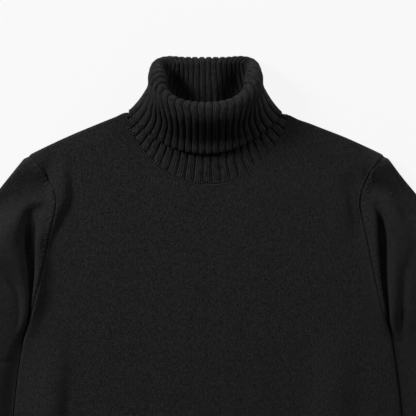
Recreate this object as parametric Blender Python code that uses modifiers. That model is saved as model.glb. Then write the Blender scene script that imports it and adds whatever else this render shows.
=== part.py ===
"""Roll-neck sweater in fine knit, laid flat on a surface with its front facing up.

The body lies in the XY plane: +Y runs from hem to collar, +X is the wearer's left, +Z is up.
The origin is the middle of the footprint, on the surface that the sweater rests on.
Five knitted pieces are linked together: front, back, two sleeves and one ribbed roll collar.
The body and sleeves lie in two layers. The collar stands open, rolled over and turned down.
Tables are in millimetres, and the meshes are made in metres.
"""

import math

import bpy
from mathutils import Vector

MM = 0.001

# Cloth
WALL = 2.5              # thickness of the knit
SEAM_GAP = 0.3          # clearance between two pieces at a seam
FLOOR_Z = WALL / 2      # middle of a layer that rests on the surface
TOP_Z = 6.9             # middle of the upper layer, where front and back lie together
FOLD_RADIUS = (TOP_Z - FLOOR_Z) / 2

# Body outline
BODY_LENGTH = 677.0     # hem to the top of the shoulder seam
HEM_Y = -377.0
NECK_POINT_Y = HEM_Y + BODY_LENGTH
NECK_HALF = 107.0       # middle to the neck end of the shoulder seam
SHOULDER_HALF = 234.0   # middle to the shoulder point
SHOULDER_Y = 248.0      # height of the shoulder point
SHOULDER_CROWN = 3.5    # how far the shoulder line bows up between its ends
UNDERARM_Y = 27.0
FRONT_NECK_DROP = 89.2  # neck point to the lowest point of the front neckline
BACK_NECK_DROP = 19.6
NECKLINE_POWER = 1.4    # above 1 pulls the neckline in at its sides
EDGE_ROLL = 26.0        # width over which the front comes down to the back at a folded edge
EDGE_Z = 2 * FLOOR_Z + SEAM_GAP + WALL / 2

BODY_HALF_WIDTHS = (
    # y, half width
    (HEM_Y, 243.0),
    (-345.0, 244.5),
    (-310.0, 250.5),
    (-270.0, 255.5),
    (-190.0, 256.5),
    (-96.0, 254.3),
    (-47.0, 249.5),
    (6.0, 241.3),
    (UNDERARM_Y, 235.0),
    (62.0, 226.2),
    (105.0, 217.3),
    (140.0, 210.0),
    (168.0, 202.3),
    (184.0, 199.6),
    (199.0, 201.6),
    (216.0, 209.5),
    (232.0, 220.5),
    (SHOULDER_Y, SHOULDER_HALF),
)

FRONT_ROWS_Y = (HEM_Y, -345, -310, -250, -180, -110, -50, -5, UNDERARM_Y, 60, 95, 128, 155, 176, 196,
                214, 232, SHOULDER_Y)
SHOULDER_COLUMNS_X = (119, 141, 168, 196, 219, SHOULDER_HALF)

# Sleeve
SIDE_CLEARANCE = 2.2    # body side to the middle of the sleeve's wall beside it
SLEEVE_SECTIONS = (
    # outer fold x, outer fold y, inner fold y, inner fold out from the body side, armhole bow, groove depth
    (234.7, 248.0, 28.5, -0.5, 1.00, 0.0),
    (241.0, 243.0, 24.5, 0.8, 0.86, 0.0),
    (248.5, 234.0, 20.5, 1.7, 0.72, 0.9),
    (257.0, 223.5, 16.0, 2.4, 0.58, 2.6),
    (267.0, 211.0, 11.0, 2.8, 0.44, 1.6),
    (280.5, 194.0, 5.5, 2.9, 0.30, 0.3),
    (298.0, 171.0, -1.0, 2.9, 0.17, 0.0),
    (320.0, 141.0, -9.0, 2.8, 0.07, 0.0),
    (343.0, 103.0, -19.0, 2.6, 0.02, 0.0),
    (362.0, 60.0, -32.0, 2.3, 0.00, 0.0),
    (376.0, 12.0, -51.0, 2.0, 0.00, 0.0),
    (384.0, -45.0, -81.0, 2.2, 0.00, 0.0),
    (386.5, -108.0, -123.0, 3.5, 0.00, 0.0),
    (385.0, -172.0, -173.0, 7.5, 0.00, 0.0),
    (382.0, -236.0, -232.0, 15.0, 0.00, 0.0),
    (377.5, -298.0, -292.0, 27.0, 0.00, 0.0),
    (372.0, -362.0, -357.0, 41.0, 0.00, 0.0),
)
FOLD_STEPS = 4          # faces round each folded edge
GROOVE_START = 0.24     # the groove beside the armhole, as parts of its length from the shoulder
GROOVE_FULL = 0.42

# Collar: one ribbed tube from the neck seam up the stand, over the roll and down to its cast-off edge
COLLAR_POINTS = 44
ROLL_RADIUS = 8.4
ROLL_STEPS = 5
ROLL_TURN = 180.0       # degrees that the cloth turns at the front and sides of the roll
ROLL_TURN_BACK = 222.0  # and at the back, where the turned-down part lies on the surface
RIM = {"half": 65.5, "y_side": 345.0, "y_front": 308.8, "y_back": 367.2, "z_front": 62.0, "z_back": 10.2,
       "square_front": 0.80, "square_back": 0.46}

STAND_SECTIONS = (
    # half, y side, y front, power front, y back, power back, z side, z front, z back, z powers, squareness
    (105.2, 299.6, 211.6, 1.40, 281.2, 1.40, 4.0, 7.5, 1.25, 0.35, 0.35, 1.00),
    (98.0, 301.8, 229.0, 1.45, 289.0, 1.40, 5.8, 13.0, 1.60, 0.45, 0.40, 1.00),
    (88.5, 306.5, 248.0, 1.45, 299.5, 1.35, 9.0, 21.0, 4.80, 0.60, 0.45, 0.98),
    (76.0, 317.0, 270.0, 1.30, 320.0, 1.10, 13.0, 31.0, 5.40, 0.80, 0.50, 0.92),
    (64.0, 331.0, 292.5, 1.10, 342.0, 0.85, 19.0, 43.5, 6.80, 1.00, 0.60, 0.84),
)
TURN_DOWN_SECTIONS = (
    # half, y side, y front, power front, y back, power back, z side, z front, z back, z powers, squareness
    (76.0, 334.0, 296.5, 1.10, 352.0, 0.75, 21.0, 60.5, 1.30, 1.00, 0.45, 0.80),
    (83.5, 323.5, 283.0, 1.30, 334.0, 0.90, 15.5, 46.5, 1.27, 0.90, 0.42, 0.88),
    (92.0, 313.5, 266.0, 1.50, 317.0, 1.10, 11.8, 35.2, 1.25, 0.80, 0.38, 0.95),
    (99.4, 305.6, 250.9, 1.65, 302.0, 1.30, 8.4, 27.4, 1.25, 0.55, 0.30, 1.00),
)

KNIT_COLOUR = (0.0125, 0.0120, 0.0120, 1.0)
KNIT_ROUGHNESS = 0.92


def curve_through(table, at):
    """Height of a smooth curve through a two-column table, rising in its first column."""
    count = len(table)
    index = max(0, min(count - 2, sum(1 for row in table if row[0] <= at) - 1))

    def slope(i):
        low, high = max(0, i - 1), min(count - 1, i + 1)
        return (table[high][1] - table[low][1]) / (table[high][0] - table[low][0])

    (x0, y0), (x1, y1) = table[index], table[index + 1]
    span = x1 - x0
    t = max(0.0, min(1.0, (at - x0) / span))
    start, end = slope(index) * span, slope(index + 1) * span
    return (y0 * (2 * t ** 3 - 3 * t ** 2 + 1) + start * (t ** 3 - 2 * t ** 2 + t)
            + y1 * (3 * t ** 2 - 2 * t ** 3) + end * (t ** 3 - t ** 2))


def smooth_step(t):
    """0 to 1 with level ends."""
    t = max(0.0, min(1.0, t))
    return t * t * (3 - 2 * t)


def body_half_width(y):
    """Half width of the front and back at a height, out to the side fold or the armhole."""
    return curve_through(BODY_HALF_WIDTHS, y)


def shoulder_y(x):
    """Height of the shoulder line, which bows up a little between its ends."""
    t = (abs(x) - NECK_HALF) / (SHOULDER_HALF - NECK_HALF)
    return NECK_POINT_Y + (SHOULDER_Y - NECK_POINT_Y) * t + SHOULDER_CROWN * 4 * t * (1 - t)


def neckline_y(x, drop):
    """Height of a neckline that falls by drop from the neck point to the middle."""
    rise = math.sqrt(max(0.0, 1 - (x / NECK_HALF) ** 2))
    return NECK_POINT_Y - drop * rise ** NECKLINE_POWER


def panel_top_y(x, drop):
    """Upper edge of a body panel: neckline in the middle, shoulder line outside it."""
    return neckline_y(x, drop) if abs(x) < NECK_HALF else shoulder_y(x)


def front_z(x, y):
    """Middle of the front's wall: level, and down onto the back at the shoulder and side folds."""
    across = abs(x)
    to_side = math.hypot(max(0.0, body_half_width(y) - across), max(0.0, y - UNDERARM_Y))
    to_shoulder = math.hypot(max(0.0, shoulder_y(max(across, NECK_HALF)) - y),
                             max(0.0, NECK_HALF - across))
    nearest = min(1.0, min(to_side, to_shoulder) / EDGE_ROLL)
    return EDGE_Z + (TOP_Z - EDGE_Z) * math.sin(nearest * math.pi / 2)


def panel_columns_x():
    """Columns of the right half at the shoulder's width: one for each collar point, then the shoulder's."""
    quarter = COLLAR_POINTS // 4
    neck = [NECK_HALF * math.sin(math.pi / 2 * step / quarter) for step in range(quarter + 1)]
    return neck + list(SHOULDER_COLUMNS_X)


def mirrored(values):
    """The values of one half, continued to the other side of zero."""
    return [-value for value in reversed(values[1:])] + list(values)


def new_material(name, colour, roughness):
    """One knit finish."""
    material = bpy.data.materials.new(name)
    material.use_nodes = True
    shader = material.node_tree.nodes["Principled BSDF"]
    shader.inputs["Base Color"].default_value = colour
    shader.inputs["Roughness"].default_value = roughness
    shader.inputs["Metallic"].default_value = 0.0
    return material


def skin(name, rows, closed):
    """Object whose faces join neighbouring rows of points. Closed rows are rings."""
    count = len(rows[0])
    points = [Vector(point) * MM for row in rows for point in row]
    across = count if closed else count - 1
    faces = []
    for low in range(len(rows) - 1):
        for step in range(across):
            here, beside = low * count + step, low * count + (step + 1) % count
            faces.append((here, beside, beside + count, here + count))
    mesh = bpy.data.meshes.new(name)
    mesh.from_pydata(points, [], faces)
    mesh.shade_smooth()
    return bpy.data.objects.new(name, mesh)


def give_wall(piece):
    """Turn the middle surface of a knitted piece into its wall."""
    wall = piece.modifiers.new("Wall", "SOLIDIFY")
    wall.thickness = WALL * MM
    wall.offset = 0.0


def make_front():
    """Front panel: columns run from hem to neckline or shoulder, with the armholes at its sides."""
    height = SHOULDER_Y - HEM_Y
    parts = [(y - HEM_Y) / height for y in FRONT_ROWS_Y]
    rows = []
    for part in parts:
        row = []
        for column_x in mirrored(panel_columns_x()):
            top = panel_top_y(column_x, FRONT_NECK_DROP)
            y = HEM_Y + part * (top - HEM_Y)
            squeeze = body_half_width(min(y, SHOULDER_Y)) / SHOULDER_HALF - 1
            x = column_x * (1 + squeeze * (column_x / SHOULDER_HALF) ** 4)
            row.append((x, y, front_z(x, y)))
        rows.append(row)
    front = skin("front", rows, closed=False)
    give_wall(front)
    return front


def back_outline():
    """Right half of the back's outline, from the middle of the hem to the middle of the neckline."""
    side = [(body_half_width(y), y) for y in FRONT_ROWS_Y]
    top = [(x, panel_top_y(x, BACK_NECK_DROP)) for x in reversed(panel_columns_x()[:-1])]
    return [(0.0, HEM_Y)] + side + top


def make_back():
    """Back panel: a flat outline that rests on the surface."""
    half = back_outline()
    outline = half + [(-x, y) for x, y in reversed(half[1:-1])]
    curve = bpy.data.curves.new("back outline", "CURVE")
    curve.dimensions = "2D"
    curve.fill_mode = "BOTH"
    curve.extrude = WALL / 2 * MM
    spline = curve.splines.new("POLY")
    spline.points.add(len(outline) - 1)
    for point, (x, y) in zip(spline.points, outline):
        point.co = (x * MM, y * MM, 0.0, 1.0)
    spline.use_cyclic_u = True
    back = bpy.data.objects.new("back", curve)
    back.location.z = FLOOR_Z * MM
    return back


def armhole_rows():
    """The panel's armhole points as (part of the way down, distance inside the straight line)."""
    rows = []
    for y in reversed(FRONT_ROWS_Y):
        if y >= UNDERARM_Y:
            part = (SHOULDER_Y - y) / (SHOULDER_Y - UNDERARM_Y)
            straight = SHOULDER_HALF + (body_half_width(UNDERARM_Y) - SHOULDER_HALF) * part
            rows.append((part, body_half_width(y) - straight))
    return rows


def armhole_bow(part):
    """How far the armhole's edge lies inside the straight line between its ends, along +X."""
    rows = armhole_rows()
    for (low, start), (high, end) in zip(rows, rows[1:]):
        if part <= high:
            return start + (end - start) * (part - low) / (high - low)
    return rows[-1][1]


def sleeve_folds():
    """Outer and inner fold points of every sleeve section, in the plane."""
    outer = [Vector(section[:2]) for section in SLEEVE_SECTIONS]
    inner = [Vector((body_half_width(y) + SIDE_CLEARANCE + out, y)) for _, _, y, out, _, _ in SLEEVE_SECTIONS]
    return outer, inner


def square_to(line, index, turn):
    """Unit vector square to a line of points at one of them, turned left or right of its run."""
    along = line[min(index + 1, len(line) - 1)] - line[max(index - 1, 0)]
    return Vector((-along.y, along.x)).normalized() * turn


def sleeve_ring(index, outer, inner):
    """Points round one section of a sleeve: outer fold, upper layer, inner fold, lower layer."""
    _, _, _, _, bow, groove = SLEEVE_SECTIONS[index]
    turns = [math.pi * step / FOLD_STEPS for step in range(FOLD_STEPS + 1)]
    across = [part for part, _ in armhole_rows()[1:-1]]

    def fold(line, side, order):
        edge, inward = line[index], square_to(line, index, side)
        arc = []
        for turn in order:
            flat = edge + inward * FOLD_RADIUS * (1 - math.sin(turn))
            arc.append((flat.x, flat.y, FLOOR_Z + FOLD_RADIUS * (1 - math.cos(turn))))
        return arc

    def place(part, z):
        flat = outer[index].lerp(inner[index], part)
        return flat.x + bow * armhole_bow(part), flat.y, z

    ring = fold(outer, -1, turns)
    for part in across:
        dip = groove * smooth_step((part - GROOVE_START) / (GROOVE_FULL - GROOVE_START))
        ring.append(place(part, TOP_Z - dip))
    ring += fold(inner, 1, reversed(turns))
    ring += [place(part, FLOOR_Z) for part in reversed(across)]
    return ring


def make_sleeve(name, side):
    """One sleeve, a flattened tube from its armhole to its cuff. Side is +1 for the wearer's left."""
    outer, inner = sleeve_folds()
    rings = []
    for index in range(len(SLEEVE_SECTIONS)):
        ring = [(side * x, y, z) for x, y, z in sleeve_ring(index, outer, inner)]
        rings.append(ring if side > 0 else ring[::-1])
    sleeve = skin(name, rings, closed=True)
    give_wall(sleeve)
    return sleeve


def signed_power(value, power):
    """A power that keeps the sign of its value."""
    return math.copysign(abs(value) ** power, value)


def collar_ring(section):
    """Points round one section of the collar, from the wearer's left side over the front."""
    (half, y_side, y_front, power_front, y_back, power_back,
     z_side, z_front, z_back, z_power_front, z_power_back, square) = section
    ring = []
    for index in range(COLLAR_POINTS):
        angle = 2 * math.pi * index / COLLAR_POINTS
        forward = math.sin(angle)
        reach = abs(forward)
        x = half * signed_power(math.cos(angle), square)
        if forward >= 0:
            ring.append((x, y_side + (y_front - y_side) * reach ** power_front,
                         z_side + (z_front - z_side) * reach ** z_power_front))
        else:
            ring.append((x, y_side + (y_back - y_side) * reach ** power_back,
                         z_side + (z_back - z_side) * reach ** z_power_back))
    return ring


def rim_point(angle):
    """Middle of the roll at an angle round the collar's tilted opening."""
    forward = math.sin(angle)
    square = RIM["square_front"] if forward >= 0 else RIM["square_back"]
    y_end = RIM["y_front"] if forward >= 0 else RIM["y_back"]
    reach = abs(forward) if forward >= 0 else abs(forward) ** RIM["square_back"]
    y = RIM["y_side"] + (y_end - RIM["y_side"]) * reach
    fall = (RIM["z_back"] - RIM["z_front"]) / (RIM["y_back"] - RIM["y_front"])
    z = RIM["z_front"] + fall * (y - RIM["y_front"])
    return Vector((RIM["half"] * signed_power(math.cos(angle), square), y, z))


def roll_rings():
    """Rings round the roll, from its inner side over the top to its outer side."""
    fall = (RIM["z_back"] - RIM["z_front"]) / (RIM["y_back"] - RIM["y_front"])
    up = Vector((0.0, -fall, 1.0)).normalized()
    step = 2 * math.pi / COLLAR_POINTS
    rings = [[] for _ in range(ROLL_STEPS + 1)]
    for index in range(COLLAR_POINTS):
        angle = index * step
        along = rim_point(angle + step / 2) - rim_point(angle - step / 2)
        out = up.cross(along).normalized()
        middle = rim_point(angle)
        if out.dot(middle - Vector((0.0, RIM["y_side"], middle.z))) < 0:
            out = -out
        back_share = smooth_step(-math.sin(angle))
        turn_end = math.radians(ROLL_TURN + (ROLL_TURN_BACK - ROLL_TURN) * back_share)
        for number in range(ROLL_STEPS + 1):
            turn = turn_end * number / ROLL_STEPS
            point = middle + ROLL_RADIUS * (up * math.sin(turn) - out * math.cos(turn))
            rings[number].append(tuple(point))
    return rings


def make_collar():
    """Ribbed collar: stand, roll and turned-down part in one tube."""
    rings = [collar_ring(section) for section in STAND_SECTIONS]
    rings += roll_rings()
    rings += [collar_ring(section) for section in TURN_DOWN_SECTIONS]
    collar = skin("collar", rings, closed=True)
    give_wall(collar)
    return collar


def main():
    """Remove what the scene holds and model the sweater."""
    for old in list(bpy.data.objects):
        bpy.data.objects.remove(old, do_unlink=True)
    sweater = bpy.data.collections.new("roll-neck sweater")
    bpy.context.scene.collection.children.link(sweater)
    pieces = [make_front(), make_back(), make_sleeve("sleeve_left", 1), make_sleeve("sleeve_right", -1),
              make_collar()]
    for piece in pieces:
        piece.data.materials.append(new_material(piece.name + " knit", KNIT_COLOUR, KNIT_ROUGHNESS))
        sweater.objects.link(piece)


main()
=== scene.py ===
"""Looks of a fine-knit roll-neck sweater that lies flat, face up, with its roll collar propped open.

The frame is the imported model: +Y runs from hem to collar, +X is the wearer's left, +Z is up, metres.
Lengths here are millimetres, and meshes are scaled to metres when they are made. Every knitted piece
of the frame is replaced by a sheet of the same cut with its folds, ribs, seams and stitches.
"""

import logging
import math
from collections.abc import Iterable, Sequence
from dataclasses import dataclass, field, replace
from enum import Enum

import bpy
import numpy as np
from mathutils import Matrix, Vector


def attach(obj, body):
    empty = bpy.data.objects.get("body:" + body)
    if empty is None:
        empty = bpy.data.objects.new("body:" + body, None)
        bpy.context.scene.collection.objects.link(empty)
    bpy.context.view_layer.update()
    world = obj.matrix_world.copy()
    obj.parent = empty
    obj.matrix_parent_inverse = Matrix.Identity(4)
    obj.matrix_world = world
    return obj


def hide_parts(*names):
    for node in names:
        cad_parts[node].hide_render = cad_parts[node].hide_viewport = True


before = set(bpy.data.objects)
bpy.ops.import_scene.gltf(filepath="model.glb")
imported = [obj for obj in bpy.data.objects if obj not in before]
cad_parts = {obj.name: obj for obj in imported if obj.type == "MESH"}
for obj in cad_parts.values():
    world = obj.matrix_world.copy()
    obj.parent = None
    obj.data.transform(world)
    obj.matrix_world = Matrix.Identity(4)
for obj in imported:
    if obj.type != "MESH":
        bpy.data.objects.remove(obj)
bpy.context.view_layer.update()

LOG = logging.getLogger("sweater")
MM = 0.001
STITCH_MAP = "stitches"

Array = np.ndarray
Material = bpy.types.Material
Object = bpy.types.Object
Rows = tuple[tuple[float, ...], ...]
Pair = tuple[float, float]
Triple = tuple[float, float, float]


class Side(Enum):
    """Which of two mirrored pieces, as the wearer has it."""

    LEFT = 1
    RIGHT = -1

    @property
    def label(self) -> str:
        """Word for piece names."""
        return self.name.lower()


# ---- curves and grids


def curve_through(table: Rows | Array, at: Array) -> Array:
    """Smooth curve through the rows of a table.

    Args:
        table: Rows whose first column rises; the other columns are the values.
        at: Places in the first column's unit.

    Returns:
        The values at those places, without their last axis if the table has one value a row.
    """
    table, at = np.asarray(table, float), np.asarray(at, float)
    places, values = table[:, 0], table[:, 1:]
    slopes = np.empty_like(values)
    slopes[1:-1] = (values[2:] - values[:-2]) / (places[2:] - places[:-2])[:, None]
    slopes[0] = (values[1] - values[0]) / (places[1] - places[0])
    slopes[-1] = (values[-1] - values[-2]) / (places[-1] - places[-2])
    low = np.clip(np.searchsorted(places, at, side="right") - 1, 0, len(places) - 2)
    span = (places[low + 1] - places[low])[..., None]
    t = np.clip((at - places[low])[..., None] / span, 0, 1)
    curve = (values[low] * (2 * t ** 3 - 3 * t ** 2 + 1) + slopes[low] * span * (t ** 3 - 2 * t ** 2 + t)
             + values[low + 1] * (3 * t ** 2 - 2 * t ** 3) + slopes[low + 1] * span * (t ** 3 - t ** 2))
    return curve[..., 0] if curve.shape[-1] == 1 else curve


def mixed(first: Array | float, second: Array | float, share: Array | float) -> Array:
    """The first value at share 0, the second at share 1."""
    return first + (second - first) * share


def smooth_step(t: Array) -> Array:
    """0 to 1 with level ends."""
    t = np.clip(t, 0, 1)
    return t * t * (3 - 2 * t)


def middle_share(x: Array, sides: Pair) -> Array:
    """1 in the middle, out to the first of two places, and 0 from the second on."""
    return smooth_step((sides[1] - np.abs(x)) / (sides[1] - sides[0]))


def bump(distance: Array, width: Array) -> Array:
    """A soft hill of height 1 whose foot is one width away from its middle."""
    return np.clip(1 - (distance / width) ** 2, 0, 1) ** 2


def unit(vectors: Array) -> Array:
    """Vectors of length 1."""
    return vectors / np.maximum(np.linalg.norm(vectors, axis=-1, keepdims=True), 1e-9)


def rounded(distance: Array, radius: float) -> Array:
    """0 at an edge and 1 a radius away from it, along a quarter of a circle."""
    return np.sqrt(np.clip(1 - np.clip(1 - distance / radius, 0, 1) ** 2, 0, 1))


def lengths_along(points: Array) -> Array:
    """Distance run from the first row of points to each row."""
    steps = np.linalg.norm(np.diff(points, axis=0), axis=-1)
    return np.concatenate([np.zeros_like(steps[:1]), np.cumsum(steps, axis=0)])


def values_at(distances: Array, run: Array, values: Array) -> Array:
    """Rows of values at distances along a line, where run is the distance of each given row."""
    return np.column_stack([np.interp(distances, run, column) for column in values.T])


def even_ring(ring: Array, parts: Array) -> Array:
    """Closed ring whose points lie at rising parts of its length, counted from its first point."""
    ring = np.concatenate([ring, ring[:1]])
    run = lengths_along(ring)
    return values_at(parts * run[-1], run, ring)


def clustered(start: float, stretches: Iterable[tuple[float, int]]) -> Array:
    """Rising places made of stretches, each with its own spacing.

    Args:
        start: First place.
        stretches: End and number of steps of each stretch.

    Returns:
        All places.
    """
    parts = [np.array([start])]
    for end, steps in stretches:
        parts.append(np.linspace(parts[-1][-1], end, steps + 1)[1:])
    return np.concatenate(parts)


@dataclass(frozen=True)
class Fold:
    """A soft ridge or trough along a line in cloth.

    Attributes:
        line: Rows of x, y, height, width on the left of its run and width on its right, which may be
            left out where both are the same. A trough's heights are negative, and an end with height
            0 fades out.
        step: Distance between the points of its curve.
    """

    line: Rows
    step: float = 7.0

    def heights(self, x: Array, y: Array) -> Array:
        """Height that the fold adds at each point."""
        rows = np.array([(*row, row[-1])[:5] for row in self.line], float)
        run = lengths_along(rows[:, :2])
        count = max(2, int(run[-1] / self.step) + 1)
        rows = curve_through(np.column_stack([run, rows]), np.linspace(0, run[-1], count))
        nearest = np.full(x.shape, np.inf)
        lift = np.zeros(x.shape)
        for start, end in zip(rows, rows[1:]):
            along = end[:2] - start[:2]
            t = np.clip(((x - start[0]) * along[0] + (y - start[1]) * along[1]) / (along @ along), 0, 1)
            off_x, off_y = x - start[0] - t * along[0], y - start[1] - t * along[1]
            distance = np.hypot(off_x, off_y)
            on_left = along[0] * off_y - along[1] * off_x > 0
            here = mixed(start[:, None, None], end[:, None, None], t[None])
            lifted = here[2] * bump(distance, np.where(on_left, here[3], here[4]))
            lift = np.where(distance < nearest, lifted, lift)
            nearest = np.minimum(nearest, distance)
        return lift


def fold_heights(folds: Sequence[Fold], x: Array, y: Array) -> Array:
    """Sum of all folds at each point."""
    return sum((fold.heights(x, y) for fold in folds), np.zeros(x.shape))


@dataclass(frozen=True)
class Drift:
    """How the sweater lies a little out of true.

    Attributes:
        rows: Rows of x, y, reach, and how far the cloth near that point moved in x and in y.
    """

    rows: Rows

    def moved(self, points: Array) -> Array:
        """Points with the drift added."""
        points = points.copy()
        shift = np.zeros(points.shape[:-1] + (2,))
        for x, y, reach, by_x, by_y in self.rows:
            near = np.exp(-((points[..., 0] - x) ** 2 + (points[..., 1] - y) ** 2) / reach ** 2)
            shift += near[..., None] * (by_x, by_y)
        points[..., :2] += shift
        return points


OUT_OF_TRUE = Drift(rows=(
    (-116, 300, 30, 0, 2.2), (-160, 280, 36, 0, 0.4), (108, 302, 12, 0, 2), (152, 282, 36, 0, -2.2),
    (205, 258, 34, -1, -1.2), (262, 224, 40, -4.6, -0.4), (300, 170, 40, -3, -1), (202, 188, 40, 2.8, 0),
    (236, 247, 12, -0.8, 0.6), (-110, 301, 8, 0, 2.2), (117, 300, 12, 0, -1.6), (78, 352, 26, 1.2, 0.6),
    (-78, 364, 16, -1, 0.6),
))


# ---- meshes


@dataclass
class Cloth:
    """A knitted sheet made from a grid of points on the middle of its wall.

    Attributes:
        middle: Rows and columns of points, to which the sweater's drift is added.
        stitches: Place of each point in the knit, across and along. A closed sheet has one more
            column than its points.
        closed: Whether the columns join up into a tube.
        outward: +1 if rows x columns points out of the face side, else -1.
        face_relief: Height added to the face side.
        back_relief: Height added to the other side.
        soft_edges: Round the open edges. A sheet that carries on in another piece has plain ones.
        back_shift: How far the pattern of the other side lies across from the face's.
    """

    name: str
    middle: Array
    stitches: Array
    wall: float = 2.5
    closed: bool = False
    outward: int = 1
    face_relief: Array | float = 0.0
    back_relief: Array | float = 0.0
    soft_edges: bool = True
    back_shift: float = 0.0

    def __post_init__(self) -> None:
        """Lay the sheet as far out of true as the whole sweater is there."""
        self.middle = OUT_OF_TRUE.moved(self.middle)

    def normals(self) -> Array:
        """Unit normals of the face side."""
        middle = self.middle
        across = ((np.roll(middle, -1, axis=1) - np.roll(middle, 1, axis=1)) / 2 if self.closed
                  else np.gradient(middle, axis=1))
        return unit(np.cross(np.gradient(middle, axis=0), across)) * self.outward

    def borders(self) -> list[Array]:
        """Numbers of the points along each open edge, in order round it."""
        number = np.arange(self.middle[..., 0].size).reshape(self.middle.shape[:2])
        if self.closed:
            return [number[0], number[-1]]
        return [np.concatenate([number[0], number[1:, -1], number[-1, -2::-1], number[-2:0:-1, 0]])]

    def edge_push(self, edge: tuple[Array, Array], normals: Array) -> Array:
        """Vectors that point out of the sheet at its edge, square to its normals."""
        rows, columns = self.middle.shape[:2]
        inner_r = np.clip(edge[0], 1, rows - 2)
        inner_c = edge[1] if self.closed else np.clip(edge[1], 1, columns - 2)
        out = self.middle[edge] - self.middle[inner_r, inner_c]
        normal = normals[edge]
        return unit(out - normal * np.sum(out * normal, axis=1, keepdims=True))

    def build(self, material: Material) -> Object:
        """Make the sheet's closed mesh.

        Args:
            material: Finish of the whole sheet.

        Returns:
            The new object, with its place in its mesh and a map of its stitches.
        """
        rows, columns = shape = self.middle.shape[:2]
        normals = self.normals()
        face, back = (
            self.middle + side * normals * (self.wall / 2 + np.broadcast_to(relief, shape)[..., None])
            for side, relief in ((1, self.face_relief), (-1, self.back_relief)))
        first_back = rows * columns
        r, c = np.indices((rows - 1, columns if self.closed else columns - 1)).reshape(2, -1)
        square = ((0, 0), (0, 1), (1, 1), (1, 0))
        corners = np.column_stack([(r + down) * columns + (c + over) % columns for down, over in square])
        maps = np.stack([self.stitches[r + down, c + over] for down, over in square], axis=1)
        if self.outward > 0:
            corners, maps = corners[:, ::-1], maps[:, ::-1]
        points = [face.reshape(-1, 3), back.reshape(-1, 3)]
        quads = [corners, corners[:, ::-1] + first_back]
        quad_maps = [maps, maps[:, ::-1] + (self.back_shift, 0.0)]
        smooth = [np.ones(2 * len(corners), bool)]
        next_point = 2 * first_back
        for number, at in enumerate(self.borders()):
            edge = np.divmod(at, columns)
            push = self.edge_push(edge, normals) * (self.wall / 2 if self.soft_edges else 0.0)
            points.append((face[edge] + back[edge]) / 2 + push)
            middle = next_point + np.arange(len(at))
            next_point += len(at)
            where = self.stitches[edge]
            after = np.roll(where, -1, axis=0)
            if self.closed:
                after[-1] = self.stitches[edge[0][-1], columns]
            strip_map = np.stack([where, after, after, where], axis=1)
            flip = (self.outward > 0) != (number == 1)
            for top, under in ((at, middle), (middle, at + first_back)):
                strip = np.column_stack([top, np.roll(top, -1), np.roll(under, -1), under])
                quads.append(strip if flip else strip[:, ::-1])
                quad_maps.append(strip_map if flip else strip_map[:, ::-1])
                smooth.append(np.full(len(at), self.soft_edges))
        return mesh_object(self.name, *map(np.concatenate, (points, quads, quad_maps, smooth)), material)

    def line_at(self, distance: float, columns: slice = slice(None)) -> tuple[Array, Array]:
        """Line beside the edge at the first row.

        Args:
            distance: How far in the line lies.
            columns: Which columns it crosses.

        Returns:
            A point and a normal of the face side for each of them.
        """
        middle, normals = self.middle[:, columns], self.normals()[:, columns]
        run = lengths_along(middle)
        row = np.clip((run < distance).sum(axis=0), 1, len(middle) - 1)
        every = np.arange(middle.shape[1])
        before, after = run[row - 1, every], run[row, every]
        t = np.clip((distance - before) / (after - before), 0, 1)[:, None]
        point, normal = (values[row - 1, every] * (1 - t) + values[row, every] * t
                         for values in (middle, normals))
        return point, unit(normal)


def mesh_object(name: str, points: Array, quads: Array, maps: Array | None,
                smooth: Array | bool, material: Material) -> Object:
    """Make an object of four-sided faces.

    Args:
        name: Name of the object.
        points: Places in mm.
        quads: Four point numbers a face.
        maps: Place in the knit of each corner in mm, or None.
        smooth: Whether each face is shaded smooth.
        material: Its finish.

    Returns:
        The new object, linked to the scene.
    """
    mesh = bpy.data.meshes.new(name)
    mesh.vertices.add(len(points))
    mesh.vertices.foreach_set("co", (points * MM).ravel())
    mesh.loops.add(quads.size)
    mesh.loops.foreach_set("vertex_index", quads.ravel().astype(np.int32))
    mesh.polygons.add(len(quads))
    mesh.polygons.foreach_set("loop_start", np.arange(0, quads.size, 4, dtype=np.int32))
    mesh.polygons.foreach_set("use_smooth", np.broadcast_to(smooth, (len(quads),)).astype(bool))
    if maps is not None:
        mesh.uv_layers.new(name=STITCH_MAP).data.foreach_set("uv", (maps * MM).ravel())
    mesh.update(calc_edges=True)
    mesh.validate()
    mesh.materials.append(material)
    made = bpy.data.objects.new(name, mesh)
    bpy.context.scene.collection.objects.link(made)
    return made


# ---- shader maths


class Term:
    """A value that varies over a surface: the output of a shader node, with Python's operators."""

    def __init__(self, graph: "Graph", socket: bpy.types.NodeSocket) -> None:
        """Wrap a node's output."""
        self.graph = graph
        self.socket = socket

    def math(self, operation: str, *others: "Term | float") -> "Term":
        """Result of a Math node on this value and others."""
        return self.graph.node("ShaderNodeMath", {"operation": operation}, dict(enumerate((self, *others))))

    def __add__(self, other: "Term | float") -> "Term":
        """Sum."""
        return self.math("ADD", other)

    __radd__ = __add__

    def __sub__(self, other: "Term | float") -> "Term":
        """Difference."""
        return self.math("SUBTRACT", other)

    def __rsub__(self, other: float) -> "Term":
        """Difference from a number on the left."""
        return (self * -1.0) + other

    def __mul__(self, other: "Term | float") -> "Term":
        """Product."""
        return self.math("MULTIPLY", other)

    __rmul__ = __mul__

    def __truediv__(self, other: "Term | float") -> "Term":
        """Quotient."""
        return self.math("DIVIDE", other)

    def __pow__(self, other: float) -> "Term":
        """Power."""
        return self.math("POWER", other)

    def __abs__(self) -> "Term":
        """Absolute value."""
        return self.math("ABSOLUTE")


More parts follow.
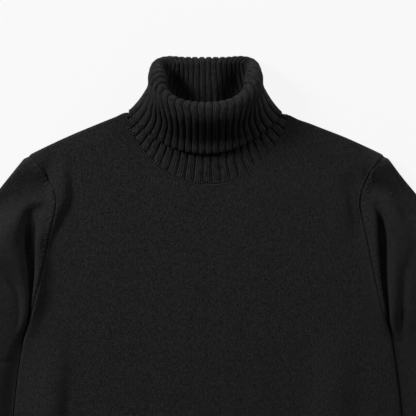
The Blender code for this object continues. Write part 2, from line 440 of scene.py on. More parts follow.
class Graph:
    """The node tree of one material."""

    def __init__(self, name: str) -> None:
        """Start a material with a plain Principled shader."""
        self.material = bpy.data.materials.new(name)
        self.material.use_nodes = True
        self.nodes = self.material.node_tree.nodes
        self.links = self.material.node_tree.links
        self.shader = self.nodes["Principled BSDF"]

    def node(self, kind: str, settings: dict, inputs: dict, output: int | str = 0) -> Term:
        """Add any node.

        Args:
            kind: Its type.
            settings: Its properties, which are set first.
            inputs: Values or terms by socket number or name.
            output: Number or name of the output that is wanted.

        Returns:
            That output.
        """
        made = self.nodes.new(kind)
        for key, value in settings.items():
            setattr(made, key, value)
        for key, value in inputs.items():
            self.feed(made.inputs[key], value)
        return Term(self, made.outputs[output])

    def feed(self, socket: bpy.types.NodeSocket, value: "Term | float | Sequence[float]") -> None:
        """Give an input a value or a link."""
        if isinstance(value, Term):
            self.links.new(value.socket, socket)
        else:
            socket.default_value = value

    def mix(self, share: Term, first: Sequence[float], second: Sequence[float]) -> Term:
        """Colour between two, by a share from 0 to 1."""
        return self.node("ShaderNodeMix", {"data_type": "RGBA"}, {0: share, 6: first, 7: second}, 2)

    def finished(self, looks: dict) -> Material:
        """Give the shader its values or terms by input name, and return the material."""
        for name, value in looks.items():
            self.feed(self.shader.inputs[name], value)
        return self.material


@dataclass(frozen=True)
class KnitFinish:
    """A matt knit of one yarn, with shade painted dark between the stitches and light painted on top of
    them.

    Attributes:
        wale: Width of one column of stitches.
        course: Height of one row of stitches.
        slant: How far the legs of a stitch climb over half a column, in rows.
        relief: Height of the yarns.
        fuzz: How uneven that height is.
        base: Share of the light colour that is everywhere.
        mottle: How uneven the colour is from stitch to stitch.
        line: How deep it is between two columns, and how dark the painted shade there is.
        painted_stitch_shading: How much painted light a yarn's top gets, and how much painted shade the gap
            beside it gets.
        rib: Width of a rib, or 0 on plain knit.
        gap: How much painted shade darkens the groove between two ribs.
        streak: How uneven the colour is along the columns.
        streak_size: Width and length of those streaks.
        spots: Sizes of the fine and of the broad spots.
    """

    name: str
    dark: tuple[float, float, float, float]
    light: tuple[float, float, float, float]
    wale: float = 2.6
    course: float = 1.9
    slant: float = 0.9
    relief: float = 0.45
    fuzz: float = 0.6
    base: float = 0.2
    mottle: float = 0.95
    line: float = 0.5
    painted_stitch_shading: float = 0.3
    rib: float = 0.0
    gap: float = 0.4
    streak: float = 0.5
    streak_size: Pair = (1.5, 6.0)
    spots: Pair = (0.95, 3.2)
    roughness: float = 0.9
    sheen: float = 0.02
    specular: float = 0.1

    def build(self) -> Material:
        """Make the material."""
        graph = Graph(self.name)
        place = graph.node("ShaderNodeUVMap", {"uv_map": STITCH_MAP}, {})
        over, up = (graph.node("ShaderNodeSeparateXYZ", {}, {0: place}, output) for output in (0, 1))
        across, along = over / (self.wale * MM), up / (self.course * MM)
        from_middle = abs(across.math("FRACT") - 0.5) * 2.0
        leg = 1.0 - abs(from_middle * 2.0 - 1.0) ** 2.0
        row = (along + from_middle * self.slant).math("FRACT")
        yarn = 1.0 - abs(row * 2.0 - 1.0) ** 2.0
        stitch = leg * (yarn * 0.6 + 0.4) - (from_middle ** 2.0) * self.line
        spot = graph.node("ShaderNodeTexCoord", {}, {}, "Object")
        fine, broad = (self.noise(graph, spot, 1 / (size * MM), 2.0, 0.6) - 0.5 for size in self.spots)
        width, length = self.streak_size
        drawn = graph.node("ShaderNodeCombineXYZ", {}, {0: across * (self.wale / width),
                                                        1: along * (self.course / length)})
        streak = self.noise(graph, drawn, 1.0, 1.0, 0.5) - 0.5
        uneven = fine * (2.0 * self.mottle) + broad * (0.5 * self.mottle) + streak * self.streak
        # painted highlight on the yarn tops and painted shade between the stitches
        share = stitch * self.painted_stitch_shading + self.base + uneven
        if self.rib:
            # painted shade in the groove between two ribs
            from_rib_middle = abs((over / (self.rib * MM)).math("FRACT") - 0.5) * 2.0
            share = share - from_rib_middle ** 6.0 * self.gap
        share = share.math("MAXIMUM", 0.0).math("MINIMUM", 1.0)
        normal = graph.node("ShaderNodeBump", {}, {"Strength": 0.8, "Distance": self.relief * MM,
                                                   "Height": stitch + fine * self.fuzz})
        return graph.finished({
            "Base Color": graph.mix(share, self.dark, self.light), "Normal": normal,
            "Roughness": self.roughness, "Specular IOR Level": self.specular,
            "Sheen Weight": self.sheen, "Sheen Roughness": 0.5})

    @staticmethod
    def noise(graph: Graph, place: Term, scale: float, detail: float, roughness: float) -> Term:
        """Uneven value from 0 to 1."""
        return graph.node("ShaderNodeTexNoise", {}, {"Vector": place, "Scale": scale, "Detail": detail,
                                                     "Roughness": roughness})


# ---- cut and heights shared by the pieces


@dataclass(frozen=True)
class Cut:
    """Flat sizes and heights of the sweater, as laid."""

    wall: float = 2.5
    floor_z: float = 1.25
    top_z: float = 6.9
    edge_z: float = 4.05
    edge_roll: float = 26.0
    hem_y: float = -377.0
    rib_depth: float = 65.0
    neck_point_y: float = 300.0
    neck_half: float = 107.0
    shoulder_half: float = 234.0
    shoulder_y: float = 248.0
    shoulder_crown: float = 3.5
    underarm_y: float = 27.0
    front_drop: float = 89.2
    back_drop: float = 19.6
    neckline_power: float = 1.3
    half_widths: Rows = (
        (-377, 243), (-345, 244.5), (-310, 250.5), (-270, 255.5), (-190, 256.5), (-96, 254.3), (-47, 249.5),
        (6, 241.3), (27, 235), (62, 226.2), (105, 217.3), (140, 210), (168, 202.3), (184, 199.6),
        (199, 201.6), (216, 209.5), (232, 220.5), (248, 234),
    )

    def half_width(self, y: Array) -> Array:
        """Half width of the body, out to the side fold or the armhole."""
        return curve_through(self.half_widths, y)

    def shoulder_line(self, x: Array) -> Array:
        """Height of the shoulder line, which bows up between its ends."""
        t = (np.abs(x) - self.neck_half) / (self.shoulder_half - self.neck_half)
        bow = self.shoulder_crown * 4 * t * (1 - t)
        return mixed(self.neck_point_y, self.shoulder_y, t) + bow

    def neckline(self, x: Array, drop: float) -> Array:
        """Height of a neckline that falls by drop from the neck point to the middle."""
        rise = np.sqrt(np.clip(1 - (x / self.neck_half) ** 2, 0, 1))
        return self.neck_point_y - drop * rise ** self.neckline_power

    def panel_top(self, x: Array, drop: float) -> Array:
        """Upper edge of a body panel."""
        return np.where(np.abs(x) < self.neck_half, self.neckline(x, drop), self.shoulder_line(x))


CUT = Cut()


@dataclass(frozen=True)
class Tuck:
    """The deep tuck in a sleeve beside its armhole, where the cloth folds over and goes under.

    Attributes:
        edge: Rows of y, x of the visible edge of the fold, strength of the tuck and stretch of its
            far side. It runs on below the underarm as the gap between body and sleeve.
        near_fade: Over how far the tuck fades in beside the body.
        far_fade: Over how far it fades out towards the sleeve.
        path: Rows of the cloth's distance out from the edge, where it goes sideways and its height.
    """

    edge: Rows
    near_fade: float = 8.0
    far_fade: float = 24.0
    path: Rows = (
        (-30, -30, 6.9), (-22, -22, 7.6), (-14, -14, 10.8), (-9, -9, 15), (-5.5, -5.4, 18.2),
        (-3, -2.8, 19.2), (-1.2, -0.9, 18.2), (0, 0, 15.2), (1.2, -0.6, 10.6), (2.4, -2.2, 6.2),
        (3.6, -2.4, 3.9), (6, 1.4, 3.9), (9, 6.4, 3.9), (12, 10.4, 4.6), (15, 13.4, 9.4), (18, 16.4, 15.4),
        (21.5, 20.2, 20.4), (26, 25.2, 23.4), (33, 33, 22.6), (44, 44, 17), (60, 60, 11),
    )

    def shape(self, x: Array, y: Array, z: Array) -> tuple[Array, Array]:
        """Fold the upper layer.

        Args:
            x: Distance from the sweater's middle, positive on both sides.
            y: Height along the body.
            z: Height of the cloth without the tuck.

        Returns:
            The new x and z.
        """
        within = np.clip(y, self.edge[0][0], self.edge[-1][0])
        edge_x, strength, spread = np.moveaxis(curve_through(self.edge, within), -1, 0)
        out = x - edge_x
        out = np.where(out > 0, out / spread, out)
        first, last = self.path[0][0], self.path[-1][0]
        sideways, height = np.moveaxis(curve_through(self.path, np.clip(out, first, last)), -1, 0)
        sideways = np.where(sideways > 0, sideways * spread, sideways)
        near = np.clip(strength, 0, 1) * smooth_step((out - first) / self.near_fade)
        near = near * smooth_step((last - out) / self.far_fade)
        return mixed(x, edge_x + sideways, near), mixed(z, height, near)


@dataclass(frozen=True)
class LinkedSeam:
    """How two edges meet: both turn down into a groove, with a low welt beside it."""

    sink: float = 1.7
    sink_width: float = 2.0
    apart: float = 1.1
    apart_width: float = 0.9
    welt: float = 0.8
    welt_at: float = 2.8
    welt_width: float = 1.1

    def depth(self, away: Array) -> Array:
        """Height at a distance from the seam, below 0 in its groove."""
        sunk = -self.sink * np.clip(1 - away / self.sink_width, 0, 1) ** 2
        return sunk + self.welt * np.exp(-((away - self.welt_at) / self.welt_width) ** 2)

    def push(self, away: Array) -> Array:
        """How far the wall's middle lies back from the seam beside it."""
        return self.apart * np.exp(-(away / self.apart_width) ** 1.5)


SEAM = LinkedSeam()
NECK_SEAM = LinkedSeam(sink=1.3, sink_width=2.2, welt=0.35)


@dataclass(frozen=True)
class Lay:
    """How the upper layer lies: its edges, folds, tucks and sunk seams.

    Attributes:
        curl: How far the cloth turns down at a rolled edge.
        side_bulge: How much higher the body is beside its side.
        lowest: Height that no fold presses the cloth below.
        seam_fade: Over what length the armhole's seam fades out at its ends.
        seam_ends: How far below the underarm and above the shoulder that is.
    """

    folds: tuple[Fold, ...]
    tucks: dict[Side, Tuck]
    curl: float = 2.2
    curl_width: float = 3.0
    side_bulge: float = 3.2
    side_round: float = 8.0
    bulge_width: float = 17.0
    lowest: float = 3.9
    seam_fade: float = 12.0
    seam_ends: Pair = (4.0, 8.0)

    def edge_fall(self, to_edge: Array) -> Array:
        """Height of the upper layer at a distance from a shoulder edge, where it rolls down."""
        near = np.clip(to_edge / CUT.edge_roll, 0, 1)
        rolled = np.clip(1 - to_edge / self.curl_width, 0, 1) ** 2
        return mixed(CUT.edge_z, CUT.top_z, np.sin(near * math.pi / 2)) - self.curl * rolled

    def side_fall(self, to_edge: Array) -> Array:
        """Height at a distance from the body's side, which bulges and then turns down."""
        top = CUT.top_z + self.side_bulge * np.exp(-(to_edge / self.bulge_width) ** 2)
        return mixed(CUT.edge_z - self.curl, top, rounded(to_edge, self.side_round))

    def armhole_seam(self, x: Array, y: Array) -> tuple[Array, Array]:
        """Push away from the middle and height that the armhole seam gives the cloth beside it."""
        beside = np.abs(x) - CUT.half_width(y)
        below, above = self.seam_ends
        share = smooth_step((y - CUT.underarm_y + below) / self.seam_fade)
        share = share * smooth_step((CUT.shoulder_y + above - y) / self.seam_fade)
        away = np.abs(beside)
        return share * SEAM.push(away) * np.where(beside > 0, 1, -1), share * SEAM.depth(away)

    def upper(self, x: Array, y: Array, z: Array) -> Array:
        """Lay the upper layer down.

        Args:
            x: Flat places across.
            y: Flat places along.
            z: Heights before folds, tucks and seams.

        Returns:
            Points with those added.
        """
        low = CUT.edge_z - self.curl
        added = fold_heights(self.folds, x, y) * smooth_step((z - low) / (CUT.top_z - low))
        push, sunk = self.armhole_seam(x, y)
        push = push * np.sign(x)
        for side, tuck in self.tucks.items():
            here = x * side.value > 0
            moved, height = tuck.shape(x * side.value, y, z)
            x, z = np.where(here, moved * side.value, x), np.where(here, height, z)
        pressed = np.maximum(z + added, np.minimum(z, self.lowest))
        return np.stack([x + push, y, np.maximum(pressed + sunk, CUT.floor_z)], axis=-1)


TUCKS = {
    Side.RIGHT: Tuck(edge=(
        (-40, 249, 0, 0.3), (0, 243, 0, 0.3), (27, 234.6, 0.5, 0.3), (49, 231.4, 0.85, 0.34),
        (70, 228.6, 1, 0.5), (97, 226.8, 1, 0.85), (113, 226.4, 1, 1.2), (128, 226.2, 1, 1.5),
        (140, 226, 0.85, 1.55), (151, 225, 0.5, 1.4), (162, 223, 0.15, 1.2), (171, 220, 0, 1),
    )),
    Side.LEFT: Tuck(edge=(
        (-40, 249, 0, 0.3), (0, 243, 0, 0.3), (27, 236.4, 0.5, 0.36), (44, 233.6, 0.85, 0.46),
        (70, 229.2, 1, 0.62), (98, 226.2, 1, 0.8), (123, 224.2, 1, 0.98), (145, 222.6, 1, 1.02),
        (163, 221, 0.75, 0.86), (178, 217.5, 0.25, 0.7), (188, 214, 0, 0.6),
    )),
}

UPPER_FOLDS = (
    # wearer's right: hollow that bends round into the tuck
    Fold(((-212, 181, 0, 12, 8), (-221, 178.5, -4, 14, 11), (-231, 173, -7, 15, 12),
          (-236, 164, -9, 16, 12), (-237, 151, -9.5, 17, 12), (-236, 136, -7, 16, 13),
          (-235, 118, -3, 15, 14), (-234, 100, 0, 12))),
    # wearer's right: ridge between the armhole and the chest, steep on the chest's side
    Fold(((-190, 243, 0, 9, 16), (-190.5, 226, 5, 10, 22), (-190.5, 208, 8.6, 10.5, 26),
          (-191, 193, 9.4, 11, 26), (-195, 181, 9.2, 12, 24), (-201, 168, 7.8, 13, 20),
          (-207, 155, 5.8, 13, 17), (-213, 142, 3.2, 13, 14), (-218, 126, 0, 10, 12))),
    # wearer's left: trough between the armhole and the chest, and a low ridge inside it
    Fold(((184, 226, 0, 12, 13), (188, 209, -4, 13, 15), (192, 192, -5.4, 13, 15), (194.5, 170, -5, 13, 15),
          (197, 147, -3, 13, 14), (200, 128, 0, 12))),
    Fold(((160, 232, 0, 20, 24), (170, 200, 2.6, 20, 24), (176, 165, 2.6, 20, 24), (182, 130, 0, 18, 22))),
    # sides of the lower body stand higher than its middle
    Fold(((-210, 44, 0, 20, 30), (-202, 6, 2.4, 18, 40), (-197, -30, 5.4, 16, 46),
          (-203, -81, 10.6, 19, 50), (-206, -130, 9.4, 21, 50), (-203, -190, 4, 22, 44),
          (-200, -250, 0, 24, 36))),
    Fold(((172, 20, 0, 34), (169, -30, 5.6, 36), (168, -81, 9, 36, 40), (170, -140, 7, 36, 40),
          (174, -200, 3, 36), (178, -250, 0, 32))),
    # wearer's right sleeve: high cap, the hollow under it, and the ridge that bends round the tuck
    Fold(((-205, 250, 0, 30, 14), (-220, 251, 5.2, 46, 14), (-232, 246, 8.6, 51, 14),
          (-246, 230, 7.4, 44, 14), (-262, 214, 5.6, 38, 14), (-280, 196, 3, 30, 14),
          (-298, 178, 0, 20, 12))),
    Fold(((-202, 207, 0, 18, 14), (-212, 207, -3.6, 22, 19), (-226, 208, -4.6, 24), (-242, 204, -5, 26, 28),
          (-261, 191, -6, 28, 30), (-277, 177, -6, 26), (-298, 158, 0, 18))),
    Fold(((-236, 187, 0, 12, 20), (-247, 176, 3, 13, 28), (-254, 160, 7.4, 14, 46),
          (-255, 144, 9.8, 14, 56), (-252, 122, 9.8, 13, 56), (-248, 100, 6, 13, 38),
          (-248, 76, 0, 14, 26))),
    # wearer's left sleeve: the cap stands high at its corner and falls to a hollow that bends downwards
    Fold(((205, 256, 0, 14, 28), (219, 258, 10, 14, 56), (231, 255, 16.5, 14, 63), (242, 246, 14.5, 13, 58),
          (252, 233, 9.4, 12, 45), (260, 218, 4.6, 12, 32), (267, 202, 0, 12, 20))),
    Fold(((204, 203, 0, 14, 10), (213, 203, -3, 16, 12), (227, 202, -4.4, 18, 14), (241, 200, -5.2, 18, 15),
          (251, 193.5, -6.4, 14), (259, 183.5, -7.4, 11, 14), (267, 169.5, -6, 12, 15),
          (275.5, 152, -2.6, 12, 14), (281, 133, 0, 12))),
    # wearer's left sleeve: full beside the tuck
    Fold(((264, 172, 0, 20, 12), (269, 138, 3.4, 30, 17), (271, 102, 5.2, 34, 18), (271, 68, 5.4, 34, 18),
          (271, 38, 3.6, 30, 16), (272, 8, 0, 20, 12))),
    # small creases in the sleeves
    Fold(((-252, -22, 0, 5), (-264, -25, -1.2, 5, 6), (-290, -26, -1.2, 5, 6), (-308, -22, 0, 5))),
    Fold(((262, 20, 0, 7), (280, 12, -1.2, 7, 9), (305, 10, -1.4, 7, 9), (330, 18, 0, 6))),
    Fold(((-352, -160, 0, 8), (-335, -170, -1.8, 8, 10), (-305, -168, -1.4, 8, 10), (-285, -156, 0, 7))),
    Fold(((356, -120, 0, 8), (338, -134, -1.7, 10, 8), (306, -136, -1.3, 10, 8), (286, -126, 0, 7))),
    # low folds over the lower body
    Fold(((-120, -330, 0, 18), (-96, -290, 2, 20), (-80, -235, 1.8, 20), (-72, -170, 0, 18))),
    Fold(((104, -336, 0, 18), (92, -296, 2.1, 20), (84, -240, 1.7, 20), (80, -190, 0, 18))),
)

LAY = Lay(folds=UPPER_FOLDS, tucks=TUCKS)

BACK_FOLDS = (
    Fold(((-150, 180, 0, 18), (-120, 120, 1.2, 20), (-105, 40, 1, 20), (-100, -40, 0, 18))),
    Fold(((140, 150, 0, 18), (118, 90, 1.3, 20), (110, 10, 1, 20), (112, -60, 0, 18))),
    Fold(((-60, -300, 0, 18), (-20, -230, 1, 22), (30, -170, 1.1, 22), (90, -130, 0, 18))),
)


# ---- ribs


@dataclass(frozen=True)
class RibStitch:
    """Rib of four wales: three raised and one sunk. Places are its columns, as parts of its width."""

    pitch: float = 8.4
    groove: float = 2.3
    groove_share: float = 0.18
    wale_dip: float = 0.4
    crown: float = 0.9
    places: tuple[float, ...] = (
        0.0, 0.045, 0.1, 0.17, 0.27, 0.375, 0.455, 0.5, 0.545, 0.625, 0.73, 0.83, 0.9, 0.955)

    def columns(self, ribs: int) -> Array:
        """Places across a number of ribs, counted in ribs."""
        return (np.arange(ribs)[:, None] + np.array(self.places)[None]).ravel()

    def relief(self, counted: Array, shift: float = 0.0) -> Array:
        """Height over the ribs, 0 on top of them.

        Args:
            counted: Places counted in ribs.
            shift: Where the groove lies, as a part of a rib; the other side of the cloth has 0.5.

        Returns:
            Heights, negative in the grooves.
        """
        part = np.mod(counted - shift, 1)
        from_groove = np.minimum(part, 1 - part)
        raised = smooth_step(from_groove / self.groove_share)
        crown = -self.crown * ((from_groove - 0.5) / 0.5) ** 2
        wales = -self.wale_dip * (1 + np.cos(8 * math.pi * (part - 0.125))) / 2
        return -self.groove * (1 - raised) + (crown + wales) * raised

    def reliefs(self, counted: Array, grip: Array, back_share: float = 1.0) -> dict[str, Array]:
        """Heights over both sides of a sheet.

        Args:
            counted: Places across, counted in ribs.
            grip: Share of the height in each row.
            back_share: Share of it on the other side.

        Returns:
            The sheet's face_relief and back_relief.
        """
        face, back = (self.relief(counted, shift)[None] * grip[:, None] for shift in (0.0, 0.5))
        return {"face_relief": face, "back_relief": back * back_share}

    def stitches(self, counted: Array, along: Array) -> Array:
        """Map of the knit, from places across that are counted in ribs and places along in mm."""
        return np.stack(np.broadcast_arrays(counted[None] * self.pitch, along), axis=-1)


COLLAR_RIB = RibStitch()
WELT_RIB = RibStitch(groove=1.0, crown=0.3,
                     places=(0.0, 0.06, 0.14, 0.27, 0.42, 0.5, 0.58, 0.73, 0.86, 0.94))


# ---- pieces


def in_frame(piece: Object) -> None:
    """Let a piece ride on the sweater's one body."""
    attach(piece, "root")


@dataclass(frozen=True)
class Linking:
    """A row of small raised stitches along a seam.

    Attributes:
        pitch: Distance from stitch to stitch.
        length: Of a stitch, along the row.
        turn: How far a stitch is turned from the row, in degrees.
    """

    name: str
    pitch: float = 3.6
    length: float = 2.7
    width: float = 1.9
    height: float = 2.1
    turn: float = 20.0

    @staticmethod
    def stitch() -> tuple[Array, Array]:
        """Points and four-sided faces of one stitch, 1 long, wide and high."""
        bpy.ops.object.select_all(action="DESELECT")
        bpy.ops.mesh.primitive_cube_add(size=1.0)
        made = bpy.context.object
        bpy.ops.object.modifier_add(type="SUBSURF")
        bpy.ops.object.modifier_apply(modifier=made.modifiers[0].name)
        points = np.array([vertex.co for vertex in made.data.vertices])
        faces = np.array([tuple(face.vertices) for face in made.data.polygons])
        bpy.data.objects.remove(made)
        return points / np.ptp(points, axis=0), faces

    def build(self, line: Array, normals: Array, lift: float, material: Material) -> None:
        """Place the stitches.

        Args:
            line: Points along the row on the middle of the cloth's wall.
            normals: Of the cloth.
            lift: From the wall's middle to its face.
            material: Finish of the yarn, painted lighter than the knit as highlight.
        """
        run = lengths_along(line)
        places = np.arange(self.pitch, run[-1] - self.pitch, self.pitch)
        centre, along, up = (values_at(places, run, values)
                             for values in (line, np.gradient(line, axis=0), normals))
        up = unit(up)
        along = unit(along - up * np.sum(along * up, axis=1, keepdims=True))
        side = np.cross(up, along)
        cosine, sine = math.cos(math.radians(self.turn)), math.sin(math.radians(self.turn))
        points, faces = self.stitch()
        points = points * (self.length, self.width, self.height)
        centre = centre + up * lift
        centre[:, 2] = np.maximum(centre[:, 2], self.width / 2)
        every = centre[:, None]
        for number, axis in enumerate((along * cosine + side * sine, side * cosine - along * sine, up)):
            every = every + axis[:, None] * points[None, :, [number]]
        quads = faces[None] + (np.arange(len(places)) * len(points))[:, None, None]
        row = mesh_object(self.name, every.reshape(-1, 3), quads.reshape(-1, 4), None, True, material)
        in_frame(row)
        LOG.info("%s: %d stitches", self.name, len(places))


@dataclass
class BodyPanel:
    """Front or back: plain knit from the hem's rib up, and the rib below it.

    Attributes:
        drop: Depth of its neckline.
        upper: Whether it lies on top.
        outer_columns: Beyond the neck, where each stretch of columns ends and how many it has.
        close_from: Part of the height from which the last rows are close together.
        grip: Part of the hem over which its ribs fade out.
        inset: How far the back lies inside the front at its sides and shoulders.
    """

    name: str
    drop: float
    upper: bool
    neck_columns: int = 30
    outer_columns: tuple[tuple[float, int], ...] = ((218.0, 26), (228.0, 6), (CUT.shoulder_half, 11))
    rows: int = 176
    close_rows: int = 12
    close_from: float = 0.985
    ribs: int = 60
    rib_rows: int = 20
    grip: float = 0.12
    back_ribs: float = 0.3
    neck_points: int = 181
    flat_rim: float = 12.0
    rim_fade: float = 30.0
    inset: float = 2.4
    inset_rise: float = 14.0
    past_neck: float = 6.0

    def columns(self) -> Array:
        """Columns at the shoulder's width, closer together at the edges."""
        neck = CUT.neck_half * np.sin(np.linspace(0, math.pi / 2, self.neck_columns + 1))
        half = np.concatenate([neck, clustered(CUT.neck_half, self.outer_columns)[1:]])
        return np.concatenate([-half[:0:-1], half])

    def flat(self, columns: Array, heights: Array) -> tuple[Array, Array]:
        """Flat places of a grid.

        Args:
            columns: Places across at the shoulder's width.
            heights: Parts of the way from hem to upper edge.

        Returns:
            Their x and y.
        """
        across, part = np.meshgrid(columns, heights)
        top = CUT.panel_top(across, self.drop)
        y = mixed(CUT.hem_y, top, part)
        squeeze = CUT.half_width(np.minimum(y, CUT.shoulder_y)) / CUT.shoulder_half - 1
        return across * (1 + squeeze * (across / CUT.shoulder_half) ** 4), y

    def from_neckline(self, x: Array, y: Array) -> Array:
        """Distance of each point from the neckline."""
        line_x = CUT.neck_half * np.sin(np.linspace(-math.pi / 2, math.pi / 2, self.neck_points))
        line_y = CUT.neckline(line_x, self.drop)
        return np.min([np.hypot(x - at_x, y - at_y) for at_x, at_y in zip(line_x, line_y)], axis=0)

    def laid(self, x: Array, y: Array) -> Array:
        """Points of the panel, laid down."""
        across = np.abs(x)
        from_side = CUT.half_width(y) - across
        to_side = np.hypot(np.clip(from_side, 0, None), np.clip(y - CUT.underarm_y, 0, None))
        to_shoulder = np.hypot(np.clip(CUT.shoulder_line(np.maximum(across, CUT.neck_half)) - y, 0, None),
                               np.clip(CUT.neck_half - across, 0, None))
        if self.upper:
            points = LAY.upper(x, y, np.minimum(LAY.side_fall(to_side), LAY.edge_fall(to_shoulder)))
            sunk = points[..., 2] + NECK_SEAM.depth(self.from_neckline(x, y))
            points[..., 2] = np.maximum(sunk, CUT.floor_z)
            return points
        room = smooth_step((np.minimum(to_side, to_shoulder) - self.flat_rim) / self.rim_fade)
        below = np.clip((CUT.underarm_y - y) / self.inset_rise, 0, 1)
        inset = self.inset * below * smooth_step(1 - from_side / self.rim_fade)
        down = self.inset * smooth_step(1 - to_shoulder / self.rim_fade)
        down = down * (across > CUT.neck_half - self.past_neck)
        z = CUT.floor_z + fold_heights(BACK_FOLDS, x, y) * room
        return np.stack([x - np.sign(x) * inset, y - down, z], axis=-1)

    def build(self, knit: Material, rib: Material) -> Object:
        """Make the panel and its hem.

        Args:
            knit: Finish of the plain part.
            rib: Finish of the hem.

        Returns:
            The plain part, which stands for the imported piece.
        """
        outward = -1 if self.upper else 1
        share = CUT.rib_depth / (CUT.shoulder_y - CUT.hem_y)
        heights = clustered(share, ((self.close_from, self.rows - self.close_rows), (1.0, self.close_rows)))
        x, y = self.flat(self.columns(), heights)
        panel = Cloth(self.name + "_panel", self.laid(x, y), np.stack([x, y], axis=-1), CUT.wall,
                      outward=outward, soft_edges=False).build(knit)
        counted = np.append(WELT_RIB.columns(self.ribs), self.ribs)
        x, y = self.flat(CUT.shoulder_half * (2 * counted / self.ribs - 1),
                         np.linspace(0, share, self.rib_rows))
        grip = smooth_step((1 - np.linspace(0, 1, self.rib_rows)) / self.grip)
        hem = Cloth(self.name + "_hem", self.laid(x, y), WELT_RIB.stitches(counted, y), CUT.wall,
                    outward=outward, **WELT_RIB.reliefs(counted, grip, self.back_ribs)).build(rib)
        in_frame(panel)
        in_frame(hem)
        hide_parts(self.name)
        LOG.info("%s and its hem", self.name)
        return panel


@dataclass
class Sleeve:
    """Set-in sleeve: a tube laid flat, with its tuck beside the armhole, and its cuff's rib.

    Attributes:
        seam_side: How far outside the armhole the sleeve's edge lies.
        inner_slope: Width over which the upper layer falls to the inner fold.
        inner_low: Width that lies low beside that fold.
        rows: Station at which each stretch of rows ends, and their number. The cuff starts at the last.
        edge_steps: Columns beside a fold, by their distance from it.
        marks: Distances of the marks from the armhole's seam.
        marked: Columns at the outer and the inner fold that have no mark.
        crowns: Rows of a station and how high the upper layer stands in its middle.
    """

    side: Side
    clearance: float = 2.3
    seam_side: float = 0.01
    round_edge: float = 4.2
    inner_slope: dict[Side, float] = field(default_factory=lambda: {Side.RIGHT: 18.0, Side.LEFT: 42.0})
    inner_low: dict[Side, float] = field(default_factory=lambda: {Side.RIGHT: 4.0, Side.LEFT: 12.0})
    inner_power: float = 1.5
    middle_z: float = 4.0
    inner_z: float = 2.9
    low_stations: float = 2.0
    slope_stations: float = 3.0
    crown_power: float = 2.8
    rows: tuple[tuple[float, int], ...] = ((0.5, 9), (5.5, 54), (15.0, 118))
    across: int = 72
    edge_steps: tuple[float, ...] = (0.0, 0.3, 0.9, 1.8, 3.0, 4.5)
    tube_width: float = 180.0
    cuff_width: float = 90.0
    cuff_ribs: int = 22
    cuff_rows: int = 20
    grip: float = 0.12
    marks: dict[str, float] = field(default_factory=lambda: {"near": 5.6, "far": 8.6})
    marked: tuple[int, int] = (2, 4)
    crowns: Rows = ((0, 0), (1, 2.5), (2, 4.5), (3.5, 7), (6, 9.6), (9, 10.5), (12, 10), (15, 4), (16, 2.4))
    sections: Rows = (
        # outer fold x, outer fold y, inner fold y, inner fold out from the body side, armhole bow
        (234.7, 248, 28.5, -0.5, 1), (241, 243, 24.5, 0, 0.86), (248.5, 234, 20.5, 0, 0.72),
        (257, 223.5, 16, 0, 0.58), (267, 211, 11, 0, 0.44), (280.5, 194, 5.5, 0, 0.3),
        (298, 171, -1, 0, 0.17), (320, 141, -9, 0, 0.07), (343, 103, -19, 0, 0.02), (362, 60, -32, 0, 0),
        (376, 12, -51, 0, 0), (384, -45, -81, 0, 0), (386.5, -108, -123, 0.4, 0), (385, -172, -173, 5, 0),
        (382, -236, -232, 13.5, 0), (377.5, -298, -292, 26, 0), (372, -362, -357, 41, 0),
    )

    def ring_parts(self, width: float) -> Array:
        """Parts of the way from outer to inner fold for the upper layer's columns."""
        near = np.array(self.edge_steps) / width
        middle = np.linspace(near[-1], 1 - near[-1], self.across)
        return np.concatenate([near[:-1], middle, 1 - near[-2::-1]])

    def flat(self, stations: Array, part: Array) -> tuple[Array, Array, Array]:
        """Places of a layer before it is laid.

        Args:
            stations: Places along the sleeve, counted in sections.
            part: Parts of the way from the outer to the inner fold.

        Returns:
            Its x and y on the wearer's left, and the distance to the nearer fold.
        """
        table = np.column_stack([np.arange(len(self.sections)), self.sections])
        values = curve_through(table, stations)
        outer_x, outer_y, inner_y, inner_out, bow = np.moveaxis(values, -1, 0)[..., None]
        inner_x = CUT.half_width(inner_y) + self.clearance + inner_out
        x, y = mixed(outer_x, inner_x, part), mixed(outer_y, inner_y, part)
        armhole_x = CUT.half_width(mixed(CUT.shoulder_y, CUT.underarm_y, part))
        straight = mixed(CUT.shoulder_half, CUT.half_width(CUT.underarm_y), part)
        x = x + bow * (armhole_x - straight)
        x = mixed(x, CUT.half_width(y) + self.seam_side, np.clip(1 - stations, 0, 1)[:, None])
        return x, y, np.minimum(part, 1 - part) * np.hypot(inner_x - outer_x, inner_y - outer_y)

    def laid(self, stations: Array, parts: Array, upper: bool) -> Array:
        """Points of one layer.

        Args:
            stations: Places along the sleeve, counted in sections.
            parts: Parts of the way from the outer to the inner fold.
            upper: Which layer.

        Returns:
            Points by station and part.
        """
        part = parts[None]
        x, y, to_edge = self.flat(stations, part)
        x = x * self.side.value
        inner = part > 0.5
        edge_z = np.where(inner, self.inner_z, self.middle_z)
        share = rounded(to_edge, self.round_edge)
        low = smooth_step(stations / self.low_stations)[:, None]
        if not upper:
            return np.stack([x, y, mixed(CUT.floor_z, mixed(edge_z, CUT.floor_z, share), low)], axis=-1)
        crown = curve_through(self.crowns, stations)[:, None]
        crown = crown * np.clip(1 - np.abs(2 * part - 1) ** self.crown_power, 0, 1)
        risen = np.clip((to_edge - self.inner_low[self.side]) / self.inner_slope[self.side], 0, 1)
        sloped = 1 - (1 - risen) ** self.inner_power
        set_in = smooth_step(stations / self.slope_stations)[:, None]
        crown = crown * np.where(inner, mixed(1, sloped, set_in), 1)
        z = mixed(edge_z, CUT.top_z, np.where(inner, sloped, share))
        return LAY.upper(x, y, mixed(LAY.edge_fall(to_edge), z, low) + crown)

    def ring(self, stations: Array, parts: Array) -> Array:
        """Closed rings: the upper layer from outer to inner fold, then the lower layer back."""
        upper = self.laid(stations, parts, True)
        lower = self.laid(stations, parts[1:-1][::-1], False)
        return np.concatenate([upper, lower], axis=1)

